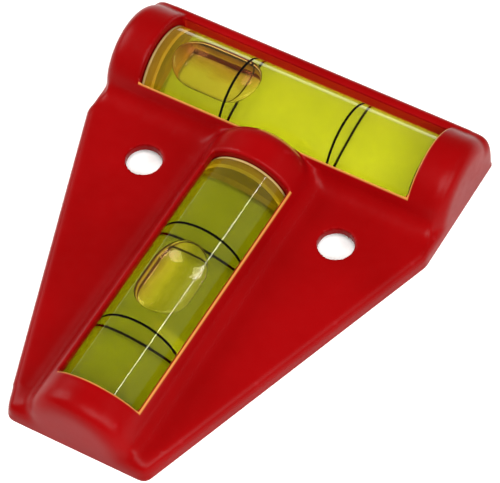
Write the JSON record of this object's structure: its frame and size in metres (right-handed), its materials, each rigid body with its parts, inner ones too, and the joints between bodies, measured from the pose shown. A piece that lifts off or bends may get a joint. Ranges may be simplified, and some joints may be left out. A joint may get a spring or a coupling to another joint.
{
  "type": "t-shaped bubble level",
  "caption": "T-shaped bubble level: a red moulded tray with half-round spirit vials at right angles, black level lines and screw holes for surface mounting.",
  "frame": {"origin": "on the back face, under the middle of the outline", "axes": "+Z out of the face with the vials, +Y from the stem end to the head's back edge, +X along the head"},
  "size_m": [0.0502, 0.063, 0.0094],
  "materials": {
    "red_plastic": "smooth moulded",
    "clear_acrylic": "polished clear",
    "yellow_green_spirit": "clear dyed liquid",
    "air": "clear",
    "black_ink": "matt ink"
  },
  "bodies": {
    "level": {"body": "red_plastic", "head_barrel": "clear_acrylic", "head_cap": "clear_acrylic", "head_liquid": "yellow_green_spirit", "head_line_left": "black_ink", "head_line_right": "black_ink", "stem_barrel": "clear_acrylic", "stem_cap": "clear_acrylic", "stem_liquid": "yellow_green_spirit", "stem_line_far": "black_ink", "stem_line_near": "black_ink"},
    "head_bubble": {"head_bubble": "air"},
    "stem_bubble": {"stem_bubble": "air"}
  },
  "joints": [
    {"name": "head_bubble_slide", "type": "slide", "parent": "level", "child": "head_bubble", "axis": [1, 0, 0], "range_m": [-0.0005, 0.0242], "deforming": ["head_liquid"]},
    {"name": "stem_bubble_slide", "type": "slide", "parent": "level", "child": "stem_bubble", "axis": [0, 1, 0], "range_m": [-0.0139, 0.0118], "deforming": ["stem_liquid"]}
  ]
}
